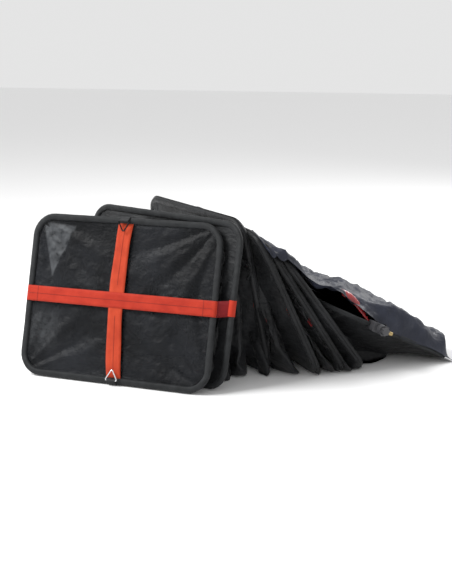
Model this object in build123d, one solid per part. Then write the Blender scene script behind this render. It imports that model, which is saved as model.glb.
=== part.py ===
"""Rectangular keepnet lying in a loose heap: seven wire hoops in fabric bindings, six net sections,
a webbing cross and two triangle rings on the closed base, and a soft mouth with a tilting stud fitting.

Millimetres, +Z up. The base faces -Y and leans back; the net lies behind it, towards +Y.
"""
from build123d import *
from math import cos, radians, sin
import os

# Driving dimensions
HOOP_WIDTH = 500.0          # outside of the binding, across
HOOP_HEIGHT = 400.0         # outside of the binding, up
HOOP_CORNER = 55.0          # outside corner radius
WIRE_R = 2.6
BINDING_BORE_R = 2.9
BINDING_R = 7.0
NET_THICK = 1.5
TAPE_WIDTH = 38.0
TAPE_THICK = 1.2
FIT_GAP = 0.2               # webbing to binding
NET_GAP = 0.5               # net to binding, and net to net
NET_SEAM = 26.0             # net wall in from the hoop's outside
NET_CLEAR_R = 10.0          # net walls stay this far from a binding's centre line
MOUTH_SEAM = 30.0           # the last net wall is square-cornered, so it is further in
MOUTH_STEP = 12.0           # the last net wall ends this far above the mouth hoop's plane
HOLLOW_OVERRUN = 6.0        # its hollow is cut this far past both open ends
COLLAR_HEIGHT = 42.0
RING_WIRE_R = 1.7
RING_SIDE = 32.0            # triangle ring, along each side between corner centres
KEEPER_WIDTH = 22.0
UPPER_OFFSET = -3.0         # the upright strap's upper half and its ring sit left of the middle
LOWER_OFFSET = 5.0          # and the lower half and its ring sit right of it

# Each hoop: name, centre across, centre back, turn about Z, lean (top towards the back is plus)
HOOPS = [
    ("1", 0.0, 0.0, 0.0, 17.0),
    ("2", 55.0, 97.0, 20.0, 11.0),
    ("3", 123.0, 272.0, 40.0, -12.0),
    ("4", 237.0, 303.0, 50.0, -25.0),
    ("5", 276.0, 334.0, 50.0, -33.0),
    ("6", 306.0, 358.0, 50.0, -37.0),
    ("7", 451.0, 478.0, 50.0, -64.0),
]

# Worked out from them
SIDE_X = HOOP_WIDTH / 2 - BINDING_R
TOP_Y = HOOP_HEIGHT / 2 - BINDING_R
PANEL_INSET = 2 * BINDING_R + NET_GAP
CORNER_R = HOOP_CORNER - BINDING_R


def hoop_plane(x, y, turn, lean, rest_r=BINDING_R):
    """The hoop's plane: local x across, local y up the hoop, local z out towards the base side.

    rest_r is the radius, round the binding's centre line, of what touches the ground.
    """
    t, a = radians(turn), radians(lean)
    across = Vector(cos(t), -sin(t), 0)
    ahead = Vector(sin(t), cos(t), 0)
    outward = (ahead * cos(a) - Vector(0, 0, 1) * sin(a)) * -1
    z = TOP_Y * cos(a) + rest_r
    return Plane(origin=Vector(x, y, z), x_dir=across, z_dir=outward)


KEEPER_GAP = FIT_GAP + TAPE_THICK + 0.2
PLANES = {name: hoop_plane(x, y, turn, lean) for name, x, y, turn, lean in HOOPS}
PLANES["1"] = hoop_plane(*HOOPS[0][1:], BINDING_R + KEEPER_GAP + TAPE_THICK)
PARTS = {}


def outline(inset, corner=HOOP_CORNER):
    """The hoop's rounded outline, moved in from the outside."""
    return RectangleRounded(HOOP_WIDTH - 2 * inset, HOOP_HEIGHT - 2 * inset, corner - inset)


def tube_round(radius, bore=0.0):
    """A tube or wire all round the hoop's centre line, in local axes."""
    path = outline(BINDING_R).wire()
    section_plane = Plane(origin=path @ 0, z_dir=path % 0)
    section = section_plane * Circle(radius)
    solid = sweep(section, path=path)
    if bore:
        solid -= sweep(section_plane * Circle(bore), path=path)
    return solid


def save(name, shape):
    PARTS[name] = shape


def placed(hoop, shape):
    return PLANES[hoop].location * shape


def hook(gap, width, tail):
    """Webbing round the outer half of the binding on the +x side, with a tail along each face."""
    inner = BINDING_R + gap
    outer = inner + TAPE_THICK
    ring = Circle(outer) - Circle(inner)
    half = ring & Pos(outer / 2, 0) * Rectangle(outer, 4 * outer)
    for side in (1, -1):
        half += Pos(-tail / 2, side * (inner + outer) / 2) * Rectangle(tail, TAPE_THICK)
    solid = extrude(half, amount=width / 2, both=True)
    return Pos(SIDE_X, 0, 0) * (Rot(90, 0, 0) * solid)


def strap(start, end):
    """Flat webbing on the base's outer face, from start to end along local x."""
    length = end - start
    z = BINDING_R + FIT_GAP + TAPE_THICK / 2
    return Pos(start + length / 2, 0, z) * Box(length, TAPE_WIDTH, TAPE_THICK)


def base_straps():
    """One strap across, hooked at both ends, and the two halves of the upright one sewn to its edges."""
    end = hook(FIT_GAP, TAPE_WIDTH, 5)
    across = strap(-SIDE_X, SIDE_X) + end + Rot(0, 0, 180) * end
    save("strap_across", placed("1", across))
    reach = SIDE_X - TOP_Y
    half = strap(TAPE_WIDTH / 2 + 0.1, TOP_Y) + Pos(-reach, 0, 0) * end
    for name, turn, offset in (("strap_upper", 90, UPPER_OFFSET), ("strap_lower", -90, LOWER_OFFSET)):
        save(name, placed("1", Pos(offset, 0, 0) * (Rot(0, 0, turn) * half)))


def triangle_ring():
    """A triangle of round wire, its hinge side along local x through the origin, its tip towards +y."""
    bend = 3.0
    rise = RING_SIDE * cos(radians(30))
    corners = [(-RING_SIDE / 2, 0), (RING_SIDE / 2, 0), (0, rise)]
    face = make_face(Polyline(*corners, close=True))
    path = fillet(face.vertices(), bend).wire()
    start = Plane(origin=path @ 0, z_dir=path % 0)
    return sweep(start * Circle(RING_WIRE_R), path=path)


def keeper():
    """A tape loop round the top rail of the base, with a sewn eye that holds a triangle ring's side."""
    loop = Pos(TOP_Y - SIDE_X, 0, 0) * hook(KEEPER_GAP, KEEPER_WIDTH, 2)
    loop = Rot(0, 0, 90) * loop
    eye_r = RING_WIRE_R + 0.3
    wall = eye_r + 1.2
    z = BINDING_R + KEEPER_GAP + TAPE_THICK + wall - 0.4
    eye = Rot(0, 90, 0) * (Cylinder(wall, KEEPER_WIDTH) - Cylinder(eye_r, KEEPER_WIDTH))
    eye_y = TOP_Y - 1.0
    return loop + Pos(0, eye_y, z) * eye, eye_y, z


def rings_and_keepers():
    loop, eye_y, z = keeper()
    for end, turn, offset in (("top", 0, UPPER_OFFSET), ("bottom", 180, LOWER_OFFSET)):
        lying = Pos(0, eye_y, z) * (Rot(0, 0, 180) * triangle_ring())
        turned = Pos(offset, 0, 0) * Rot(0, 0, turn)
        save(f"ring_keeper_{end}", placed("1", turned * loop))
        save(f"triangle_ring_{end}", placed("1", turned * lying))


def section_plane(hoop, ahead):
    """The hoop's plane moved along the net, away from the base."""
    return PLANES[hoop].offset(-ahead)


def trimmed(wall, hoops, radius):
    """A soft wall cut clear of the bindings of the hoops."""
    keep_clear = tube_round(radius)
    for hoop in hoops:
        wall -= placed(hoop, keep_clear)
    return max(wall.solids(), key=lambda solid: solid.volume)


def net_wall(near, far):
    """The wall of net between two hoops, straight from one to the other, as thin as one layer of cloth."""
    skins = []
    for inset in (NET_SEAM, NET_SEAM + NET_THICK):
        start = section_plane(near, NET_GAP) * outline(inset)
        end = section_plane(far, -NET_GAP) * outline(inset)
        skins.append(loft([start, end], ruled=True))
    return skins[0] - skins[1]


def mouth_profile(inset, past):
    """The last section's side view as a face through its middle, run past both open ends."""
    reach = HOOP_HEIGHT / 2 - inset
    near, far = PLANES["6"], PLANES["7"]
    corners = [
        near.from_local_coords((0, -reach, past - NET_GAP)),
        near.from_local_coords((0, reach, past - NET_GAP)),
        far.from_local_coords((0, reach, -MOUTH_STEP - past)),
        far.from_local_coords((0, -reach, -MOUTH_STEP - past)),
    ]
    across = near.x_dir
    level = [corner - across * (corner - near.origin).dot(across) for corner in corners]
    return make_face(Polyline(*level, close=True))


def mouth_wall():
    """The last net wall, between two parallel hoops, as a flat-sided tube."""
    across = PLANES["6"].x_dir
    half = HOOP_WIDTH / 2 - MOUTH_SEAM
    outside = extrude(mouth_profile(MOUTH_SEAM, 0), amount=half, dir=across, both=True)
    hollow = mouth_profile(MOUTH_SEAM + NET_THICK, HOLLOW_OVERRUN)
    return outside - extrude(hollow, amount=half - NET_THICK, dir=across, both=True)


def side_tape(near, far, side):
    """The webbing along one side of a net section, flat and straight from hoop to hoop."""
    clear = BINDING_R + FIT_GAP + TAPE_THICK + 0.4
    x = side * (SIDE_X - 2.0)
    start = section_plane(near, clear).from_local_coords((x, 0, 0))
    end = section_plane(far, -clear).from_local_coords((x, 0, 0))
    run = end - start
    upwards = PLANES[near].y_dir + PLANES[far].y_dir
    lying = Plane(origin=(start + end) * 0.5, x_dir=run, z_dir=run.cross(upwards))
    strip = lying.location * Box(run.length, TAPE_WIDTH, TAPE_THICK)
    return trimmed(strip, (near, far), NET_CLEAR_R)


def mouth_collar():
    """The soft nylon rim that stands up from the mouth hoop."""
    wall = outline(1.0) - outline(1.0 + NET_THICK)
    skirt = Pos(0, 0, -BINDING_R - NET_GAP - COLLAR_HEIGHT) * extrude(wall, amount=COLLAR_HEIGHT)
    notch = Box(CLAMP_SIZE[0], CLAMP_SIZE[1] + 4, 2 * CLAMP_SIZE[2])
    return skirt - Pos(HOOP_WIDTH / 2, CLAMP_Y, 0) * notch


# Mouth fitting, in the mouth hoop's local axes
CLAMP_Y = 50.0
CLAMP_SIZE = (30.0, 44.0, 24.0)
CLAMP_INNER_X = SIDE_X - 5.0
SCREW_R = 2.4
HEAD_R = 13.0
HEAD_LENGTH = 16.0
STUD_R = 4.76
STUD_LENGTH = 16.0
STUD_DROP = 0.5             # the stud's end meets the head's boss face to face
KNOB_R = 10.0
KNOB_LENGTH = 11.0
AXLE_R = 3.0


def clamp_block():
    """A saddle that grips the binding from outside, drilled for two screws and the head's axle."""
    x_mid = CLAMP_INNER_X + CLAMP_SIZE[0] / 2
    block = Pos(x_mid, CLAMP_Y, 0) * fillet(Box(*CLAMP_SIZE).edges().filter_by(Axis.X), 3)
    bore = Pos(SIDE_X, CLAMP_Y, 0) * (Rot(90, 0, 0) * Cylinder(BINDING_R + 0.3, CLAMP_SIZE[1] + 2))
    block -= bore
    for y in (-1, 1):
        hole = Cylinder(SCREW_R + 0.2, CLAMP_SIZE[2] + 2)
        block -= Pos(SIDE_X + 13, CLAMP_Y + y * 15, 0) * hole
    return block


def clamp_screws():
    """Two through screws with round heads and nuts; they are alike and share a node."""
    screws = []
    reach = CLAMP_SIZE[2] / 2
    for y in (-15, 15):
        shank = Cylinder(SCREW_R, CLAMP_SIZE[2] + 6)
        head = Pos(0, 0, -reach - 1.6) * Cylinder(4.4, 2.8)
        nut = Pos(0, 0, reach + 1.7) * extrude(RegularPolygon(4.6, 6), amount=1.4, both=True)
        screws.append(Pos(SIDE_X + 13, CLAMP_Y + y, 0) * (shank + head + nut))
    return Compound(children=screws)


def along_x(solid):
    return Rot(0, 90, 0) * solid


def head_parts():
    """The tilting head with its threaded stud pointing down the hoop, and the knob that locks it."""
    face_x = CLAMP_INNER_X + CLAMP_SIZE[0]
    head_x = face_x + 0.4 + HEAD_LENGTH / 2
    knob_x = face_x + 0.4 + HEAD_LENGTH + 0.4 + KNOB_LENGTH / 2
    head = Pos(head_x, CLAMP_Y, 0) * along_x(Cylinder(HEAD_R, HEAD_LENGTH))
    head -= Pos(head_x, CLAMP_Y, 0) * along_x(Cylinder(AXLE_R + 0.3, HEAD_LENGTH + 2))
    stud_y = CLAMP_Y - HEAD_R - STUD_LENGTH / 2
    root = Pos(head_x, stud_y + STUD_LENGTH / 2 + 2, 0) * (Rot(90, 0, 0) * Cylinder(7.0, 5.0))
    stud = Pos(head_x, stud_y - STUD_DROP, 0) * (Rot(90, 0, 0) * Cylinder(STUD_R, STUD_LENGTH))
    head += root - Pos(head_x, CLAMP_Y, 0) * along_x(Cylinder(HEAD_R - 1, HEAD_LENGTH))
    knob = Pos(knob_x, CLAMP_Y, 0) * along_x(Cylinder(KNOB_R, KNOB_LENGTH))
    for k in range(6):
        a = radians(60 * k)
        y, z = CLAMP_Y + (KNOB_R + 1.5) * cos(a), (KNOB_R + 1.5) * sin(a)
        knob -= Pos(knob_x, y, z) * along_x(Cylinder(3.2, KNOB_LENGTH + 2))
    axle_length = HEAD_LENGTH + 0.8
    axle = Pos(face_x + axle_length / 2, CLAMP_Y, 0) * along_x(Cylinder(AXLE_R, axle_length))
    return head, stud, knob, axle


def lift_handle():
    """A short webbing loop sewn inside the mouth near its clamp side, lying over the hoop."""
    length = 104.0
    strip = Pos(SIDE_X - 48, 104, -BINDING_R - 6) * (Rot(0, 0, 12) * Box(18, length, 2.4))
    return strip


def export_parts():
    """Write every part, with the origin moved to below the middle of the heap."""
    os.makedirs("parts", exist_ok=True)
    boxes = [shape.bounding_box() for shape in PARTS.values()]
    middle_x = (min(box.min.X for box in boxes) + max(box.max.X for box in boxes)) / 2
    middle_y = (min(box.min.Y for box in boxes) + max(box.max.Y for box in boxes)) / 2
    floor_z = min(box.min.Z for box in boxes)
    print("origin moved by", round(-middle_x, 3), round(-middle_y, 3), round(-floor_z, 3))
    for name, shape in PARTS.items():
        export_step(Pos(-middle_x, -middle_y, -floor_z) * shape, f"parts/{name}.step")


def main():
    wire = tube_round(WIRE_R)
    binding = tube_round(BINDING_R, BINDING_BORE_R)
    wrap = hook(FIT_GAP, TAPE_WIDTH, 5)
    names = [row[0] for row in HOOPS]
    for name in names:
        save(f"hoop_{name}", placed(name, wire))
        save(f"binding_{name}", placed(name, binding))
    for name in names[1:-1]:
        save(f"wrap_left_{name}", placed(name, Rot(0, 0, 180) * wrap))
        save(f"wrap_right_{name}", placed(name, wrap))
    for near, far in zip(names[:-2], names[1:-1]):
        wall = net_wall(near, far)
        save(f"net_{near}", trimmed(wall, (near, far), NET_CLEAR_R))
        save(f"tape_left_{near}", side_tape(near, far, -1))
        save(f"tape_right_{near}", side_tape(near, far, 1))
    save("net_6", mouth_wall())
    panel = extrude(outline(PANEL_INSET), amount=NET_THICK)
    save("base_panel", placed("1", panel))
    base_straps()
    rings_and_keepers()
    save("mouth_collar", placed("7", mouth_collar()))
    save("lift_handle", placed("7", lift_handle()))
    save("clamp_block", placed("7", clamp_block()))
    save("clamp_screws", placed("7", clamp_screws()))
    head, stud, knob, axle = head_parts()
    save("tilt_head", placed("7", head))
    save("tilt_stud", placed("7", stud))
    save("lock_knob", placed("7", knob))
    save("head_axle", placed("7", axle))
    export_parts()


main()
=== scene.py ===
"""A rectangular keepnet lying in a loose heap: hoops in bindings, gathered net, webbing and a nylon mouth."""
import math

import bmesh
import bpy
import numpy as np
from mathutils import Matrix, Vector, noise


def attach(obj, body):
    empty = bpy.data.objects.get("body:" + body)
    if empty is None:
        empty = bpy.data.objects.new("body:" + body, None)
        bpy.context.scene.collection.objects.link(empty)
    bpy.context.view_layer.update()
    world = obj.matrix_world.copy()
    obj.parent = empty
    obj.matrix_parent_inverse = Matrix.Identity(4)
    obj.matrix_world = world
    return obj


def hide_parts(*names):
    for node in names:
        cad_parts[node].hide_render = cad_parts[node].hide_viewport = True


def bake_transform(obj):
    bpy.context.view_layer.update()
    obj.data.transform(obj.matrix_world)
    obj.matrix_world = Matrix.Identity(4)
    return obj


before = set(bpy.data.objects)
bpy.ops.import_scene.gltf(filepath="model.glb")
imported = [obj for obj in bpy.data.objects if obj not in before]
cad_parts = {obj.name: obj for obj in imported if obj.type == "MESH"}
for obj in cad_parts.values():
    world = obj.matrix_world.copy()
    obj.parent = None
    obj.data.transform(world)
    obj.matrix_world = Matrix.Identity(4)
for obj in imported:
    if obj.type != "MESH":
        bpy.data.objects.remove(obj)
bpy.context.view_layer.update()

MM = 0.001

# Sizes, in metres
HALF_WIDTH = 250 * MM
HALF_HEIGHT = 200 * MM
CORNER = 55 * MM
CENTRE_LINE = 7 * MM            # the wire's centre line, in from the binding's outside
SECTION_LENGTH = 350 * MM
TAPE_WIDTH = 38 * MM
HOOPS = ["1", "2", "3", "4", "5", "6", "7"]
BODY = {"1": "base", "7": "mouth"}


def body(hoop):
    """The body that a hoop rides on."""
    return BODY.get(hoop, f"hoop_{hoop}")


# ---------------------------------------------------------------- the hoops' places

class Hoop:
    """A hoop's centre and axes, read from its wire: across, up the hoop, and ahead along the net."""

    def __init__(self, name):
        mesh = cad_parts[f"hoop_{name}"].data
        points = np.array([v.co for v in mesh.vertices], float)
        spread = np.linalg.eigh(np.cov(points.T))[1]
        across, up = spread[:, 2], spread[:, 1]
        across = across * np.sign(across[0])
        up = up * np.sign(up[2])
        self.axes = np.stack([across, up, np.cross(up, across)])
        local = points @ self.axes.T
        self.centre = (local.min(0) + local.max(0)) / 2 @ self.axes

    def at(self, x, y, ahead=0.0):
        """Points in the row frame, from hoop-local ones."""
        x, y, ahead = np.broadcast_arrays(x, y, ahead)
        return self.centre + np.stack([x, y, ahead], -1) @ self.axes


PLACE = {name: Hoop(name) for name in HOOPS}


class Rim:
    """Points round a rounded rectangle, each at its own distance in from the outside."""

    def __init__(self, per_corner=9, per_width=46, per_height=36):
        rows = []
        corners = [(1, 1, 0), (-1, 1, 90), (-1, -1, 180), (1, -1, 270)]
        for k, (sx, sy, start) in enumerate(corners):
            for j in range(per_corner):
                a = start + 90 * j / (per_corner - 1)
                rows.append((sx, sy, a, sx, sy, a, 0.0))
            nx, ny, after = corners[(k + 1) % 4]
            count = per_width if k in (0, 2) else per_height
            for j in range(1, count):
                rows.append((sx, sy, start + 90, nx, ny, after, j / count))
        self.rows = np.array(rows)
        self.count = len(rows)

    def _corner(self, sx, sy, angle, inset):
        radius = np.maximum(CORNER - inset, 14 * MM)
        x = sx * (HALF_WIDTH - inset - radius) + radius * np.cos(np.radians(angle))
        y = sy * (HALF_HEIGHT - inset - radius) + radius * np.sin(np.radians(angle))
        return x, y

    def at(self, inset):
        """x and y of every point, for an inset per point."""
        r = self.rows
        x0, y0 = self._corner(r[:, 0], r[:, 1], r[:, 2], inset)
        x1, y1 = self._corner(r[:, 3], r[:, 4], r[:, 5], inset)
        t = r[:, 6]
        return x0 + (x1 - x0) * t, y0 + (y1 - y0) * t


RIM = Rim()


# ---------------------------------------------------------------- mesh helpers

def smooth_noise(points, scale, seed):
    """Smooth noise from -1 to 1 at each point."""
    shift = Vector((seed * 7.3, seed * 3.1, seed * 5.7))
    flat = points.reshape(-1, 3)
    values = [noise.noise(Vector(p) * scale + shift) for p in flat]
    return np.array(values).reshape(points.shape[:-1])


def grid_mesh(name, points, closed=False):
    """A mesh from a grid of points; closed joins the last column to the first."""
    rows, columns = points.shape[:2]
    faces = []
    for i in range(rows - 1):
        for j in range(columns if closed else columns - 1):
            k = (j + 1) % columns
            faces.append((i * columns + j, i * columns + k, (i + 1) * columns + k, (i + 1) * columns + j))
    mesh = bpy.data.meshes.new(name)
    mesh.from_pydata([tuple(p) for p in points.reshape(-1, 3)], [], faces)
    uv = mesh.uv_layers.new(name="cloth")
    lengths = np.cumsum(np.r_[0, np.linalg.norm(np.diff(points[:, 0], axis=0), axis=1)])
    widths = np.cumsum(np.r_[0, np.linalg.norm(np.diff(points[0], axis=0), axis=1)])
    for polygon in mesh.polygons:
        for loop in polygon.loop_indices:
            v = mesh.loops[loop].vertex_index
            uv.data[loop].uv = (widths[v % columns], lengths[v // columns])
    mesh.polygons.foreach_set("use_smooth", [True] * len(mesh.polygons))
    piece = bpy.data.objects.new(name, mesh)
    bpy.context.scene.collection.objects.link(piece)
    return piece


def rim_points(hoop):
    """Points round a hoop's outside."""
    x, y = RIM.at(np.zeros(RIM.count))
    return PLACE[hoop].at(x, y)


def nearest_places(near, far, steps=1500):
    """The two places, one in each hoop's plane, where two hoops come closest.

    A plane square to the line between them parts the hoops, so a blend from one place to the other
    leaves each hoop's own cloth on that hoop.
    """
    a, b = rim_points(near), rim_points(far)
    p, q = a.mean(0), b.mean(0)
    for _ in range(steps):
        towards = a[np.argmax(a @ (q - p))] - p
        p = p + towards * np.clip((q - p) @ towards / (towards @ towards + 1e-12), 0, 1)
        towards = b[np.argmin(b @ (q - p))] - q
        q = q + towards * np.clip((p - q) @ towards / (towards @ towards + 1e-12), 0, 1)
    return p, q


PARTING = {pair: nearest_places(*pair) for pair in zip(HOOPS[:-1], HOOPS[1:])}


def bend_between(piece):
    """Bake a piece's transform into its mesh; the piece is not bent."""
    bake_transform(piece)


def thicken(piece, depth):
    """Give a flat piece its thickness, centred on the sheet."""
    solid = piece.modifiers.new("thick", "SOLIDIFY")
    solid.thickness = depth
    solid.offset = 0
    apply_modifiers(piece)


def apply_modifiers(piece):
    graph = bpy.context.evaluated_depsgraph_get()
    mesh = bpy.data.meshes.new_from_object(piece.evaluated_get(graph))
    piece.modifiers.clear()
    piece.data = mesh


def paint(piece, material, *more):
    piece.data.materials.clear()
    for each in (material, *more):
        piece.data.materials.append(each)


def finish_piece(piece, on, material, slot, *nodes):
    paint(piece, material)
    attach(piece, on)
    if nodes:
        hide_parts(*nodes)
    return piece


# ---------------------------------------------------------------- materials

class Shader:
    """A material's node tree, with short calls for the nodes used here."""

    def __init__(self, name, color, roughness, **sockets):
        self.material = bpy.data.materials.new(name)
        self.material.use_nodes = True
        self.tree = self.material.node_tree
        self.bsdf = self.tree.nodes["Principled BSDF"]
        self.bsdf.inputs["Base Color"].default_value = (*color, 1)
        self.bsdf.inputs["Roughness"].default_value = roughness
        for key, value in sockets.items():
            self.bsdf.inputs[key.replace("_", " ")].default_value = value
        self.bump = None

    def node(self, kind, **inputs):
        made = self.tree.nodes.new(kind)
        for key, value in inputs.items():
            socket = made.inputs[key.replace("_", " ")]
            if isinstance(value, bpy.types.NodeSocket):
                self.tree.links.new(value, socket)
            else:
                socket.default_value = value
        return made

    def math(self, operation, a, b=0.0):
        made = self.tree.nodes.new("ShaderNodeMath")
        made.operation = operation
        for socket, value in zip(made.inputs, (a, b)):
            if isinstance(value, bpy.types.NodeSocket):
                self.tree.links.new(value, socket)
            else:
                socket.default_value = value
        return made.outputs[0]

    def place(self, uv=False):
        made = self.tree.nodes.new("ShaderNodeTexCoord")
        return made.outputs["UV" if uv else "Object"]

    def noise(self, scale, detail=4.0, uv=False, stretch=None):
        place = self.place(uv)
        if stretch:
            place = self.node("ShaderNodeMapping", Vector=place, Scale=stretch).outputs[0]
        made = self.node("ShaderNodeTexNoise", Vector=place, Scale=scale, Detail=detail)
        return made.outputs["Fac"]

    def wave(self, scale, direction, uv=False):
        made = self.node("ShaderNodeTexWave", Vector=self.place(uv), Scale=scale, Distortion=0.4)
        made.bands_direction = direction
        return made.outputs["Fac"]

    def tint(self, factor, dark, light, low=0.3, high=0.7):
        ramp = self.node("ShaderNodeValToRGB", Fac=factor)
        ramp.color_ramp.elements[0].position = low
        ramp.color_ramp.elements[0].color = (*dark, 1)
        ramp.color_ramp.elements[1].position = high
        ramp.color_ramp.elements[1].color = (*light, 1)
        self.tree.links.new(ramp.outputs[0], self.bsdf.inputs["Base Color"])
        return ramp

    def rough(self, factor, low, high):
        made = self.node("ShaderNodeMapRange", Value=factor, To_Min=low, To_Max=high)
        self.tree.links.new(made.outputs[0], self.bsdf.inputs["Roughness"])

    def relief(self, height, distance, strength=0.5):
        made = self.node("ShaderNodeBump", Height=height, Distance=distance, Strength=strength)
        if self.bump:
            self.tree.links.new(self.bump, made.inputs["Normal"])
        self.bump = made.outputs[0]
        self.tree.links.new(self.bump, self.bsdf.inputs["Normal"])


def net_material():
    """Fine knotless mesh: a near-black cloth with a small square weave, a faint gloss and fine creases."""
    s = Shader("fine_net", (0.012, 0.013, 0.014), 0.5, Sheen_Weight=0.06, Sheen_Roughness=0.4,
               Specular_IOR_Level=0.24)
    s.tint(s.noise(14, 5), (0.004, 0.0043, 0.0048), (0.015, 0.0158, 0.0175))
    s.rough(s.noise(24, 4), 0.36, 0.62)
    s.relief(s.math("MULTIPLY", s.wave(260, "X", True), s.wave(260, "Y", True)), 0.0004, 0.35)
    s.relief(s.noise(20, 5, stretch=(1, 1, 2.2)), 0.012, 0.55)
    s.relief(s.noise(85, 4), 0.003, 0.45)
    return s.material


def panel_material():
    """The base's single layer of mesh: see-through in part, glossier, with fine crumples, and painted lighter
    where light shows through it (painted backlight).
    """
    s = Shader("base_mesh", (0.015, 0.016, 0.018), 0.48, Sheen_Weight=0.02, Sheen_Roughness=0.35,
               Specular_IOR_Level=0.15)
    ramp = s.tint(s.noise(7, 7), (0.004, 0.0045, 0.0055), (0.015, 0.0165, 0.020), 0.38, 0.68)
    # painted backlight: a lighter grey mixed into the base colour over the marked spots, standing for light
    # shining through the mesh
    painted_backlight = s.tree.nodes.new("ShaderNodeAttribute")
    painted_backlight.attribute_name = "painted_backlight"
    backlight_mottle = s.math("MULTIPLY", s.math("SUBTRACT", s.noise(75, 7), 0.2), 2.2)
    backlight_amount = s.math("MULTIPLY", painted_backlight.outputs["Fac"], backlight_mottle)
    mix = s.tree.nodes.new("ShaderNodeMix")
    mix.data_type = "RGBA"
    s.tree.links.new(backlight_amount, mix.inputs["Factor"])
    s.tree.links.new(ramp.outputs[0], mix.inputs["A"])
    # the painted backlight's lighter grey
    mix.inputs["B"].default_value = (0.085, 0.09, 0.096, 1)
    s.tree.links.new(mix.outputs["Result"], s.bsdf.inputs["Base Color"])
    s.rough(s.noise(22, 3), 0.3, 0.55)
    s.relief(s.math("MULTIPLY", s.wave(330, "X", True), s.wave(330, "Y", True)), 0.0003, 0.3)
    s.relief(s.noise(30, 6), 0.010, 0.6)
    s.relief(s.noise(95, 5), 0.003, 0.5)
    s.bsdf.inputs["Alpha"].default_value = 0.88
    return s.material


def binding_material():
    s = Shader("binding_tape", (0.028, 0.03, 0.032), 0.55, Sheen_Weight=0.05, Sheen_Roughness=0.4,
               Specular_IOR_Level=0.18)
    s.tint(s.noise(60, 3), (0.012, 0.013, 0.014), (0.023, 0.0245, 0.026))
    s.relief(s.wave(420, "Y", True), 0.0004, 0.4)
    s.relief(s.noise(90, 3), 0.0008, 0.3)
    return s.material


def webbing_material(name="red_webbing", low=(0.37, 0.022, 0.009), high=(0.48, 0.036, 0.015)):
    """Woven tape: cross ribs, a flat sheen and a slightly uneven dye."""
    s = Shader(name, high, 0.6, Sheen_Weight=0.05, Sheen_Roughness=0.4, Specular_IOR_Level=0.2)
    s.tint(s.noise(40, 4), low, high)
    s.relief(s.wave(480, "Y", True), 0.0004, 0.45)
    s.relief(s.wave(520, "X", True), 0.0002, 0.3)
    return s.material


def nylon_material():
    """Coated ripstop nylon: blue-grey, softly shiny, finely crumpled."""
    s = Shader("mouth_nylon", (0.035, 0.038, 0.052), 0.4, Sheen_Weight=0.05, Sheen_Roughness=0.3,
               Specular_IOR_Level=0.3)
    s.tint(s.noise(18, 5), (0.010, 0.0118, 0.021), (0.027, 0.031, 0.048))
    s.rough(s.noise(30, 3), 0.34, 0.55)
    s.relief(s.noise(38, 5), 0.007, 0.55)
    s.relief(s.noise(120, 3), 0.0015, 0.35)
    return s.material


def band_material():
    """Coated red tape: smooth, glossy and crumpled."""
    s = Shader("glossy_red", (0.36, 0.018, 0.022), 0.25, Coat_Weight=0.6, Coat_Roughness=0.15)
    s.tint(s.noise(50, 4), (0.24, 0.010, 0.014), (0.44, 0.03, 0.034))
    s.relief(s.noise(70, 5), 0.004, 0.6)
    return s.material


def thread_material(name, color):
    s = Shader(name, color, 0.7)
    s.relief(s.wave(900, "X"), 0.0002, 0.4)
    return s.material


def metal_material(name, color, roughness):
    s = Shader(name, color, roughness, Metallic=1.0)
    s.rough(s.noise(240, 4), roughness * 0.7, roughness * 1.5)
    s.relief(s.noise(500, 3), 0.00005, 0.25)
    return s.material


def plastic_material(name, color):
    s = Shader(name, color, 0.45)
    s.tint(s.noise(300, 3), tuple(c * 0.8 for c in color), tuple(c * 1.2 for c in color))
    s.relief(s.noise(700, 2), 0.0001, 0.35)
    return s.material


NET = net_material()
PANEL = panel_material()
BINDING = binding_material()
RED = webbing_material()
RED_UPRIGHT = webbing_material("red_webbing_upright", (0.41, 0.036, 0.010), (0.52, 0.055, 0.017))
# painted shade: a darkened copy of the red webbing, for the side tapes that lie in shade
RED_PAINTED_SHADE = webbing_material("red_webbing_painted_shade", (0.13, 0.004, 0.006), (0.22, 0.008, 0.010))
NYLON = nylon_material()
GLOSSY_RED = band_material()
RED_THREAD = thread_material("red_thread", (0.16, 0.008, 0.006))
BLACK_TAPE = webbing_material("black_tape", (0.012, 0.012, 0.013), (0.025, 0.026, 0.028))
CHROME = metal_material("bright_wire", (0.85, 0.85, 0.87), 0.12)
STEEL = metal_material("hoop_steel", (0.5, 0.5, 0.52), 0.35)
BLACK_WIRE = metal_material("black_wire", (0.02, 0.02, 0.022), 0.35)
BRASS = metal_material("stud_brass", (0.40, 0.30, 0.14), 0.35)
FITTING = plastic_material("fitting_plastic", (0.05, 0.05, 0.055))


# ---------------------------------------------------------------- bindings

BARE = (7.8 * MM, 5.8 * MM, BINDING)        # half width, half depth and material of a bare binding
COVERED = (9.0 * MM, 8.9 * MM, NET)         # and of one with the net drawn over it


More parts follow.
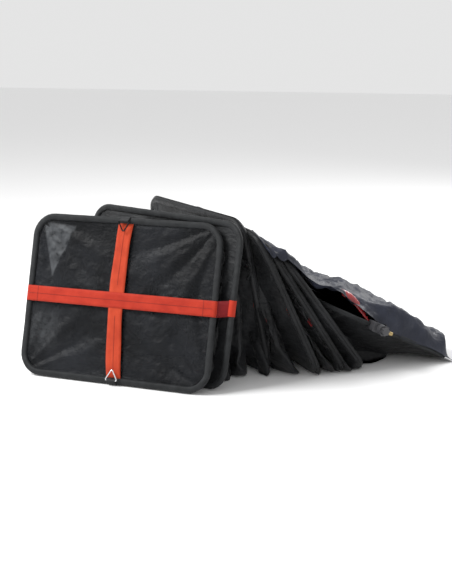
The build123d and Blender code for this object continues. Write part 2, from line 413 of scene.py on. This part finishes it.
def binding(hoop, half_wide, half_deep, material, seed):
    """A folded tape sewn round the wire: wider than deep, with a slightly uneven outside."""
    section = 20
    x, y = RIM.at(np.full(RIM.count, CENTRE_LINE))
    middle = PLACE[hoop].at(x, y)
    inner_x, inner_y = RIM.at(np.full(RIM.count, CENTRE_LINE + 5 * MM))
    inward = PLACE[hoop].at(inner_x, inner_y) - middle
    inward /= np.linalg.norm(inward, axis=1)[:, None]
    ahead = PLACE[hoop].axes[2]
    rings = []
    for k in range(section):
        a = 2 * math.pi * k / section
        c, s = math.cos(a), math.sin(a)
        wide = half_wide * np.sign(c) * abs(c) ** 0.75
        deep = half_deep * np.sign(s) * abs(s) ** 0.85
        rings.append(middle + inward * wide + ahead * deep)
    points = np.stack(rings + rings[:1], 0).transpose(1, 0, 2)
    points = np.concatenate([points, points[:1]], 0)
    ripple = smooth_noise(points, 55, seed) * 0.5 * MM
    outward = points - np.concatenate([middle, middle[:1]], 0)[:, None]
    outward /= np.linalg.norm(outward, axis=-1, keepdims=True)
    points = points + outward * ripple[..., None]
    points[..., 2] = np.maximum(points[..., 2], 0.3 * MM)
    piece = grid_mesh(f"binding_cover_{hoop}", points)
    weld(piece)
    return finish_piece(piece, body(hoop), material, "binding", f"binding_{hoop}")


def weld(piece, distance=0.00005):
    joined = piece.modifiers.new("weld", "WELD")
    joined.merge_threshold = distance
    apply_modifiers(piece)


def make_bindings():
    """Bare bindings at the base, the second hoop and the mouth; elsewhere the net is drawn over the hoop."""
    for k, hoop in enumerate(HOOPS):
        binding(hoop, *(BARE if hoop in ("1", "2", "7") else COVERED), k)


# ---------------------------------------------------------------- net sections

# Per section: folds, how far its inner folds stay below the hoops, unevenness, and the insets at each end
SECTIONS = {
    "1": (3, 0.35, 0.25, 9 * MM, 9 * MM),
    "2": (3, 0.02, 0.80, 9 * MM, -4 * MM),
    "3": (3, 0.10, 0.45, -4 * MM, -4 * MM),
    "4": (3, 0.12, 0.30, -4 * MM, -4 * MM),
    "5": (3, 0.12, 0.30, -4 * MM, -4 * MM),
    "6": (2, 0.05, 0.55, -4 * MM, 3 * MM),
}
SWELL = {"1": 0, "2": 30 * MM, "3": 14 * MM, "4": 7 * MM, "5": 7 * MM, "6": 16 * MM}
BROAD = 0.85                    # how much wider a fold's ridge is than its valley
FOLD_DRIFT = 0.35               # how far an uneven section's folds wander along the net
FOLD_DEPTH = 1.25               # a fold's depth, over that of an even zigzag
TOP_FALL = 0.22                 # how much further the cloth sinks between the hoops along the top
LOOSE_GAP = 130 * MM            # hoops this far apart leave the cloth between them fully loose
FLOOR_GAP = 2.5 * MM


def net_points(near, far, rows=65):
    """The gathered cloth between two hoops: folds that fall inwards and use up the cloth's length."""
    folds, below, rough, start_in, end_in = SECTIONS[near]
    seed = int(near)
    s = np.linspace(0, 1, rows)[:, None]
    near_rim, far_rim = rim_points(near), rim_points(far)
    gap = np.linalg.norm(far_rim - near_rim, axis=1)[None, :]
    depth = np.sqrt(np.maximum(SECTION_LENGTH ** 2 - gap ** 2, 0)) / (2 * folds)
    x, y = RIM.at(np.zeros(RIM.count))
    around = np.stack([x * 5, y * 5, np.full(RIM.count, seed * 2.0)], -1)
    shift = smooth_noise(around, 1.5, seed + 9)[None, :] * FOLD_DRIFT * rough
    along = s + shift * np.sin(math.pi * s) ** 2
    wave = (1 - np.cos(2 * math.pi * folds * along)) / 2
    middle = np.clip(np.sin(math.pi * s) * 2.2, 0, 1)
    places = np.stack(np.broadcast_arrays(x * 6, y * 6, s * folds * 1.1 + seed), -1)
    uneven = smooth_noise(places, 1.2, seed)
    swell = smooth_noise(places, 0.55, seed + 40)
    fall = np.clip(y / HALF_HEIGHT, 0, 1)[None, :] * TOP_FALL
    inset = start_in + (end_in - start_in) * s
    inset = inset + depth * wave * (FOLD_DEPTH + 0.5 * rough * uneven)
    inset = inset - SWELL[near] * np.clip(swell + 0.35, 0, 1) * (1 - wave) * middle
    sink = np.clip(below + rough * (0.7 * uneven + swell) + fall, 0, 1.2)
    inset = inset + depth * middle * (1 - wave) * sink
    a = np.array([PLACE[near].at(*RIM.at(row)) for row in inset])
    b = np.array([PLACE[far].at(*RIM.at(row)) for row in inset])
    across = along + BROAD / (2 * math.pi * folds) * np.sin(2 * math.pi * folds * along)
    across = np.clip(across, 0, 1)[..., None]
    points = a * (1 - across) + b * across
    loose = np.clip(gap / LOOSE_GAP, 0.15, 1) * np.sin(math.pi * s) ** 0.8
    wrinkle = smooth_noise(points, 7, seed + 60) * 26 * MM
    wrinkle = wrinkle + smooth_noise(points, 18, seed + 3) * 13 * MM
    wrinkle = wrinkle + smooth_noise(points, 50, seed + 5) * 4.5 * MM
    along_net = far_rim - near_rim
    along_net /= np.linalg.norm(along_net, axis=1)[:, None]
    points = points + (wrinkle * loose)[..., None] * along_net[None]
    fine = smooth_noise(points, 70, seed + 7) * 2.2 * MM * np.sin(math.pi * s) ** 0.5
    outward = points - (PLACE[near].centre + PLACE[far].centre) / 2
    outward /= np.linalg.norm(outward, axis=-1, keepdims=True)
    points = points + outward * fine[..., None]
    points[..., 2] = np.maximum(points[..., 2], FLOOR_GAP)
    return points


NET_POINTS = {pair: net_points(*pair) for pair in zip(HOOPS[:-1], HOOPS[1:])}


def drape(piece, pins, frames, weight=0.25, stiff=12):
    """Let a piece hang under its own weight from its pinned points, then keep the result."""
    scene = bpy.context.scene
    held = piece.vertex_groups.new(name="held")
    held.add(pins, 1.0, "REPLACE")
    cloth = piece.modifiers.new("cloth", "CLOTH")
    cloth.settings.quality = 5
    cloth.settings.mass = weight
    cloth.settings.tension_stiffness = stiff
    cloth.settings.compression_stiffness = stiff
    cloth.settings.shear_stiffness = 3
    cloth.settings.bending_stiffness = 0.05
    cloth.settings.air_damping = 3
    cloth.settings.vertex_group_mass = "held"
    cloth.collision_settings.use_collision = False
    cloth.point_cache.frame_start = 1
    cloth.point_cache.frame_end = frames
    for frame_number in range(1, frames + 1):
        scene.frame_set(frame_number)
    apply_modifiers(piece)
    scene.frame_set(1)
    piece.vertex_groups.clear()
    for vertex in piece.data.vertices:
        vertex.co.z = max(vertex.co.z, FLOOR_GAP)


# How many frames each section hangs for
HANG = {"1": 4, "2": 16, "3": 6, "4": 4, "5": 4, "6": 10}


def net_section(near, far):
    """One section's cloth, hung between its two hoops; the side tapes then follow the hung points."""
    piece = grid_mesh(f"net_cloth_{near}", NET_POINTS[near, far], closed=True)
    paint(piece, NET)
    rows = NET_POINTS[near, far].shape[0]
    last = (rows - 1) * RIM.count
    drape(piece, list(range(RIM.count)) + list(range(last, last + RIM.count)), HANG[near])
    hung = np.array([v.co for v in piece.data.vertices])
    NET_POINTS[near, far] = hung.reshape(rows, RIM.count, 3)
    bend_between(piece)
    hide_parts(f"net_{near}")


def make_net():
    for near, far in zip(HOOPS[:-1], HOOPS[1:]):
        net_section(near, far)


# ---------------------------------------------------------------- side tapes

TAPE_OUTSIDE = 7 * MM            # how far the first section's tape lies outside the cloth
TAPE_INSIDE = 1 * MM             # how far the other sections' tapes lie inside it
TAPE_CLEAR = 3                   # rows of cloth left bare at each hoop


def side_tape(near, far, side, where):
    """Webbing sewn down the net's side: straight across the first gap, inside the cloth after it."""
    x, y = RIM.at(np.zeros(RIM.count))
    beside = (np.sign(x) == side) & (abs(x) > HALF_WIDTH - 1 * MM)
    chosen = np.where(beside & (abs(y) < TAPE_WIDTH / 2))[0]
    cloth = NET_POINTS[near, far]
    middle = (PLACE[near].centre + PLACE[far].centre) / 2
    if near == "1":
        line = cloth[:, chosen].mean(1)
        line = np.linspace(line[0], line[-1], len(line))
        outward = line.mean(0) - middle
        outward[2] = 0
        line = line + outward / np.linalg.norm(outward) * TAPE_OUTSIDE
        up = PLACE[near].axes[1] + PLACE[far].axes[1]
        up /= np.linalg.norm(up)
        points = line[:, None] + (np.linspace(-0.5, 0.5, 5) * TAPE_WIDTH)[None, :, None] * up
    else:
        normal = np.cross(np.gradient(cloth, axis=0), np.gradient(cloth, axis=1))
        normal /= np.maximum(np.linalg.norm(normal, axis=-1, keepdims=True), 1e-9)
        inward = ((middle - cloth) * normal)[:, chosen].sum()
        points = (cloth + math.copysign(TAPE_INSIDE, inward) * normal)[:, chosen]
    piece = grid_mesh(f"side_tape_{where}_{near}", points[TAPE_CLEAR:-TAPE_CLEAR])
    thicken(piece, 1.1 * MM)
    # the side tapes take the darkened red webbing, as painted shade
    paint(piece, RED_PAINTED_SHADE)
    bend_between(piece)
    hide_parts(f"tape_{where}_{near}")


def make_side_tapes():
    for near, far in zip(HOOPS[:-2], HOOPS[1:-1]):
        for side, where in ((-1, "left"), (1, "right")):
            side_tape(near, far, side, where)


# ---------------------------------------------------------------- the base

def make_panel():
    """The base's mesh: taut at the binding, with soft creases that run in from the corners."""
    columns, rows = 151, 121
    x = np.linspace(-1, 1, columns)[None, :]
    y = np.linspace(-1, 1, rows)[:, None]
    inset = 11 * MM
    px = x * (HALF_WIDTH - inset) + 0 * y
    py = y * (HALF_HEIGHT - inset) + 0 * x
    lift = np.zeros_like(px)
    for k, (sx, sy) in enumerate([(1, 1), (-1, 1), (-1, -1), (1, -1)]):
        dx, dy = px - sx * HALF_WIDTH, py - sy * HALF_HEIGHT
        distance = np.hypot(dx, dy)
        angle = np.arctan2(-sy * dy, -sx * dx)
        strength = np.exp(-((distance - 0.12) / 0.13) ** 2)
        lift += np.sin(angle * 13 + k * 1.7) * strength * 2.6 * MM
        lift += np.sin(angle * 29 + k) * strength * 0.8 * MM
    places = np.stack([px, py, np.zeros_like(px)], -1)
    lift += smooth_noise(places, 9, 4) * 2.2 * MM
    edge = np.clip((1 - np.maximum(abs(x), abs(y))) * 7, 0, 1)
    lift *= edge
    points = PLACE["1"].at(px, py, -lift + 1.5 * MM * edge)
    piece = grid_mesh("base_cloth", points)
    # mark where the painted backlight goes
    mark_painted_backlight(piece, px, py)
    trim_corners(piece, inset)
    finish_piece(piece, "base", PANEL, "net", "base_panel")


def mark_painted_backlight(piece, px, py):
    """Where the base is painted lighter as painted backlight, standing for light showing through it: a corner
    triangle and a patch below the strap, where only one layer of mesh lies behind.
    """
    corners = np.array([(-226, 180), (-190, 45), (-138, 172)]) * MM
    inside = np.full(px.shape, 1.0)
    for k in range(3):
        (ax, ay), (bx, by) = corners[k], corners[(k + 1) % 3]
        length = math.hypot(bx - ax, by - ay)
        distance = ((bx - ax) * (py - ay) - (by - ay) * (px - ax)) / length
        inside = np.minimum(inside, np.clip(distance / (4 * MM) + 0.5, 0, 1))
    patch = np.exp(-((px + 200 * MM) / (38 * MM)) ** 4 - ((py + 85 * MM) / (48 * MM)) ** 4) * 0.45
    # the painted backlight mask, kept on the mesh for the base's material
    painted_backlight = piece.data.attributes.new("painted_backlight", "FLOAT", "POINT")
    painted_backlight.data.foreach_set("value", np.maximum(inside, patch).astype(np.float32).ravel())


def trim_corners(piece, inset):
    """Cut a flat piece's corners to the hoop's round ones."""
    hoop = PLACE["1"]
    mesh = piece.data
    drop = []
    radius = CORNER - inset
    for polygon in mesh.polygons:
        x, y, _ = (np.array(polygon.center) - hoop.centre) @ hoop.axes.T
        dx = abs(x) - (HALF_WIDTH - inset - radius)
        dy = abs(y) - (HALF_HEIGHT - inset - radius)
        if dx > 0 and dy > 0 and math.hypot(dx, dy) > radius + 2 * MM:
            drop.append(polygon.index)
    work = bmesh.new()
    work.from_mesh(mesh)
    work.faces.ensure_lookup_table()
    bmesh.ops.delete(work, geom=[work.faces[i] for i in drop], context="FACES")
    work.to_mesh(mesh)
    work.free()


def upright_points():
    """The upright strap: its ends go in under the binding, it bows, and it passes under the strap across."""
    grid = []
    across = np.linspace(-0.5, 0.5, 7) * TAPE_WIDTH
    for t in np.linspace(-1, 1, 61):
        bow = (-6 - 3.9 * t + 8.9 * t * t) * MM
        out = (5.2 - 2.8 * abs(t) ** 6 + 0.8 * math.sin(9 * abs(t))) * MM
        along = t * (HALF_HEIGHT - 13 * MM)
        side = bow + across * (1 + 0.04 * math.sin(7 * t))
        grid.append(PLACE["1"].at(side, along + 0 * side, -out + 0 * side))
    return np.array(grid)


def strap_points(start, end, lift):
    """The strap across: webbing over the base's face, hooked back round the binding at each end."""
    half_turn = [math.pi * k / 10 for k in range(11)]
    radius = 7.4 * MM
    line = []
    for a in half_turn[::-1][:-1]:
        line.append((start - radius * math.sin(a), radius * math.cos(a)))
    for k in range(41):
        t = k / 40
        line.append((start + (end - start) * t, radius - lift * math.sin(math.pi * t) ** 0.5))
    for a in half_turn[1:]:
        line.append((end + radius * math.sin(a), radius * math.cos(a)))
    across = np.linspace(-0.5, 0.5, 7) * TAPE_WIDTH
    return np.array([PLACE["1"].at(along + 0 * across, across, -out + 0 * across) for along, out in line])


def make_straps():
    reach = HALF_WIDTH - CENTRE_LINE
    web = strap_points(-reach, reach, 1.0 * MM)
    upright_web = upright_points()
    across = grid_mesh("strap_across_web", web)
    upright = grid_mesh("strap_upright_web", upright_web)
    for piece, material, nodes in ((across, RED, ["strap_across"]),
                                   (upright, RED_UPRIGHT, ["strap_upper", "strap_lower"])):
        thicken(piece, 1.2 * MM)
        finish_piece(piece, "base", material, "red_webbing", *nodes)
    stitch("strap_across_stitch", web[10:-10, 3], "base", RED_THREAD)
    stitch("strap_upright_stitch_top", upright_web[36:-2, 3], "base", RED_THREAD)
    stitch("strap_upright_stitch_foot", upright_web[2:25, 3], "base", RED_THREAD)
    for name, column in (("left", 12), ("right", -13)):
        stitch(f"strap_end_stitch_{name}", web[column], "base", RED_THREAD)


def stitch(name, line, on, material, step=3.2 * MM, long=2.2 * MM):
    """A run of short raised stitches along a line, just above the cloth."""
    line = np.array(line)
    lengths = np.r_[0, np.cumsum(np.linalg.norm(np.diff(line, axis=0), axis=1))]
    up = -PLACE["1"].axes[2] * 0.8 * MM
    curve = bpy.data.curves.new(name, "CURVE")
    curve.dimensions = "3D"
    curve.bevel_depth = 0.5 * MM
    curve.bevel_resolution = 1
    for begin in np.arange(0, lengths[-1] - long, step):
        spline = curve.splines.new("POLY")
        spline.points.add(1)
        for point, where in zip(spline.points, (begin, begin + long)):
            place = np.array([np.interp(where, lengths, line[:, k]) for k in range(3)]) + up
            point.co = (*place, 1)
    piece = bpy.data.objects.new(name, curve)
    bpy.context.scene.collection.objects.link(piece)
    curve.materials.append(material)
    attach(piece, on)


# ---------------------------------------------------------------- nylon over the mouth

NYLON_DROP = 30 * MM            # how far the nylon comes down each side of the hoops
NYLON_SAG = 9 * MM              # between the hoops
MOUTH_SAG = 12 * MM             # between the last hoop and the mouth
MOUTH_OPEN = 46 * MM            # how far the nylon stands off the mouth's near side
OPEN_SHARE = 0.42               # the share of the mouth that stands open


def top_rail(hoop, x, lift):
    """Points over a hoop's top leg and down round its corners, for x from -1 to 1."""
    reach = HALF_WIDTH + NYLON_DROP
    run = x * reach
    straight = HALF_WIDTH - CORNER
    radius = CORNER + lift
    angle = np.clip((abs(run) - straight) / radius, 0, math.pi / 2)
    rx = np.sign(run) * (np.minimum(abs(run), straight) + radius * np.sin(angle))
    ry = HALF_HEIGHT - CORNER + radius * np.cos(angle)
    return PLACE[hoop].at(rx, ry)


def make_nylon():
    """The mouth's nylon: over the last hoops' tops, then over the mouth down to its far edge."""
    columns = 121
    x = np.linspace(-1, 1, columns)
    mouth = PLACE["7"]
    rows = []

    def run_to(first, last, count, sag):
        for k in range(count):
            t = k / count
            hang = sag * math.sin(math.pi * t)
            rows.append(first * (1 - t) + last * t - np.array([0, 0, hang]))

    rails = [top_rail(hoop, x, lift * MM) for hoop, lift in (("4", 12), ("5", 18), ("6", 20))]
    rails[0] = rails[0] * 0.6 + rails[1] * 0.4
    run_to(rails[0], rails[1], 18, NYLON_SAG)
    run_to(rails[1], rails[2], 18, NYLON_SAG)
    side = np.clip((x - 0.35) / 0.65, 0, 1)
    reach = HALF_WIDTH + 2 * MM

    def over(y, rise, open_by):
        """A row over the mouth at height y up the hoop: a dome that comes down outside the side legs."""
        edge = np.clip((1 - abs(x)) / 0.16, 0, 1)
        dome = rise * (1 - (1 - edge) ** 2) - 9 * MM * (1 - edge) ** 2
        lifted = np.maximum(dome, open_by * side ** 0.8)
        return mouth.at(x * (reach - open_by * 0.55 * side), y + 0 * x, lifted)

    first = over(HALF_HEIGHT + 4 * MM, 26 * MM, MOUTH_OPEN)
    run_to(rails[2], first, 20, MOUTH_SAG)
    count = 92
    for k in range(count + 1):
        t = k / count
        y = HALF_HEIGHT + 4 * MM - t * 2 * (HALF_HEIGHT + 3 * MM)
        rise = (26 + 22 * math.sin(math.pi * t)) * MM * min(1, (1 - t) / 0.10 + 0.05)
        open_by = MOUTH_OPEN * max(0.0, 1 - t / OPEN_SHARE) ** 0.7
        rows.append(over(y, rise, open_by))
    points = np.array(rows)
    past = np.arange(len(points))[:, None] / len(points)
    normal = mouth.axes[2] * 0.75 + np.array([0, 0, 0.45])
    crumple = smooth_noise(points, 6, 21) * 16 * MM + smooth_noise(points, 24, 22) * 4 * MM
    creases = (0.35 - np.abs(smooth_noise(points, 8, 23))) * 38 * MM
    creases += (0.3 - np.abs(smooth_noise(points, 20, 25))) * 13 * MM
    crumple += creases + smooth_noise(points, 70, 24) * 2.5 * MM
    hem = np.clip((1 - abs(x))[None, :] / 0.05, 0.25, 1) * np.clip((1 - past) / 0.05, 0, 1)
    hem = hem * np.clip(past / 0.16, 0, 1)
    points = points + (crumple * hem)[..., None] * normal
    points[..., 2] = np.maximum(points[..., 2], 3 * MM)
    piece = grid_mesh("nylon_top", points)
    thicken(piece, 0.6 * MM)
    paint(piece, NYLON)
    bend_between(piece)
    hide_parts("mouth_collar")


# The band's middle line, in metres across, up and ahead of the mouth hoop's centre
BAND_LINE = [(0.202, 0.156, 0.044), (0.210, 0.132, 0.042), (0.218, 0.108, 0.032),
             (0.225, 0.084, 0.016), (0.229, 0.062, 0.003)]
BAND_HALF_WIDTH = 10.5 * MM
BAND_HALF_DEPTH = 4.0 * MM


def make_band():
    """A padded, glossy red band at the mouth's open side, turned to show its face."""
    middle = np.array([PLACE["7"].at(*place) for place in BAND_LINE])
    last = 60
    t = np.linspace(0, len(BAND_LINE) - 1, last + 1)
    line = np.stack([np.interp(t, range(len(BAND_LINE)), middle[:, k]) for k in range(3)], -1)
    for _ in range(40):
        line[1:-1] = (line[:-2] + 2 * line[1:-1] + line[2:]) / 4
    across, _, ahead = PLACE["7"].axes
    rings = []
    for k, place in enumerate(line):
        turn = math.radians(38 + 22 * math.sin(k / 14))
        wide = across * math.cos(turn) - ahead * math.sin(turn)
        thick = across * math.sin(turn) + ahead * math.cos(turn)
        swell = 1 + 0.12 * math.sin(k * 0.9) + 0.06 * math.sin(k * 2.3)
        ends = min(1.0, 0.25 + min(k, last - k) / 5)
        ring = []
        for j in range(24):
            a = 2 * math.pi * j / 24
            w = BAND_HALF_WIDTH * math.cos(a)
            h = BAND_HALF_DEPTH * swell * ends * math.sin(a)
            ring.append(place + wide * w + thick * h)
        rings.append(ring + ring[:1])
    piece = grid_mesh("mouth_band", np.array(rings))
    weld(piece)
    finish_piece(piece, "mouth", GLOSSY_RED, "red_webbing", "lift_handle")


# ---------------------------------------------------------------- CAD nodes that stay

def paint_nodes():
    chosen = {"triangle_ring_bottom": CHROME, "triangle_ring_top": BLACK_WIRE, "tilt_stud": BRASS,
              "head_axle": CHROME, "clamp_screws": BLACK_WIRE, "clamp_block": FITTING, "tilt_head": FITTING,
              "lock_knob": FITTING, "ring_keeper_top": BLACK_TAPE, "ring_keeper_bottom": BLACK_TAPE}
    for name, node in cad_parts.items():
        if name.startswith("hoop_"):
            paint(node, STEEL)
        elif name.startswith("wrap_"):
            paint(node, RED)
        elif name in chosen:
            paint(node, chosen[name])


# ---------------------------------------------------------------- floor, light and camera

WORLD_LIGHT = 0.78
# Each lamp: name, place and size in metres, and power in watts
LAMPS = (("key", (-2.0, -1.5, 2.4), 1.2, 105), ("back", (1.2, 2.4, 2.0), 1.6, 45))
LAMP_AIM = (0, 0, 0.15)
CAMERA_PLACE = (0.781, -2.460, 0.788)
CAMERA_LENS = 61.6
CAMERA_TIP = 13.8               # degrees down
CAMERA_TURN = 19.7              # degrees to the left


def make_stage():
    bpy.ops.mesh.primitive_plane_add(size=30, location=(0, 0, 0))
    floor = bpy.context.object
    floor.name = "floor"
    s = Shader("pale_floor", (0.9, 0.9, 0.9), 0.9)
    floor.data.materials.append(s.material)


def make_light():
    scene = bpy.context.scene
    scene.view_settings.view_transform = "Standard"
    world = bpy.data.worlds.new("studio")
    scene.world = world
    world.use_nodes = True
    back = world.node_tree.nodes["Background"]
    back.inputs[0].default_value = (1, 1, 1, 1)
    back.inputs[1].default_value = WORLD_LIGHT
    for name, place, size, power in LAMPS:
        lamp = bpy.data.lights.new(name, "AREA")
        lamp.size = size
        lamp.energy = power
        piece = bpy.data.objects.new(name, lamp)
        scene.collection.objects.link(piece)
        piece.location = place
        aim = Vector(LAMP_AIM) - Vector(place)
        piece.rotation_euler = aim.to_track_quat("-Z", "Y").to_euler()


def make_camera():
    """A low view from the base's right, turned back and tipped down towards the heap."""
    lens = bpy.data.cameras.new("camera")
    lens.sensor_width = 36
    lens.lens = CAMERA_LENS
    camera = bpy.data.objects.new("camera", lens)
    bpy.context.scene.collection.objects.link(camera)
    camera.location = CAMERA_PLACE
    camera.rotation_euler = (math.radians(90 - CAMERA_TIP), 0, math.radians(CAMERA_TURN))
    bpy.context.scene.camera = camera


make_stage()
make_light()
make_camera()
make_bindings()
make_net()
make_side_tapes()
make_panel()
make_straps()
make_nylon()
make_band()
paint_nodes()
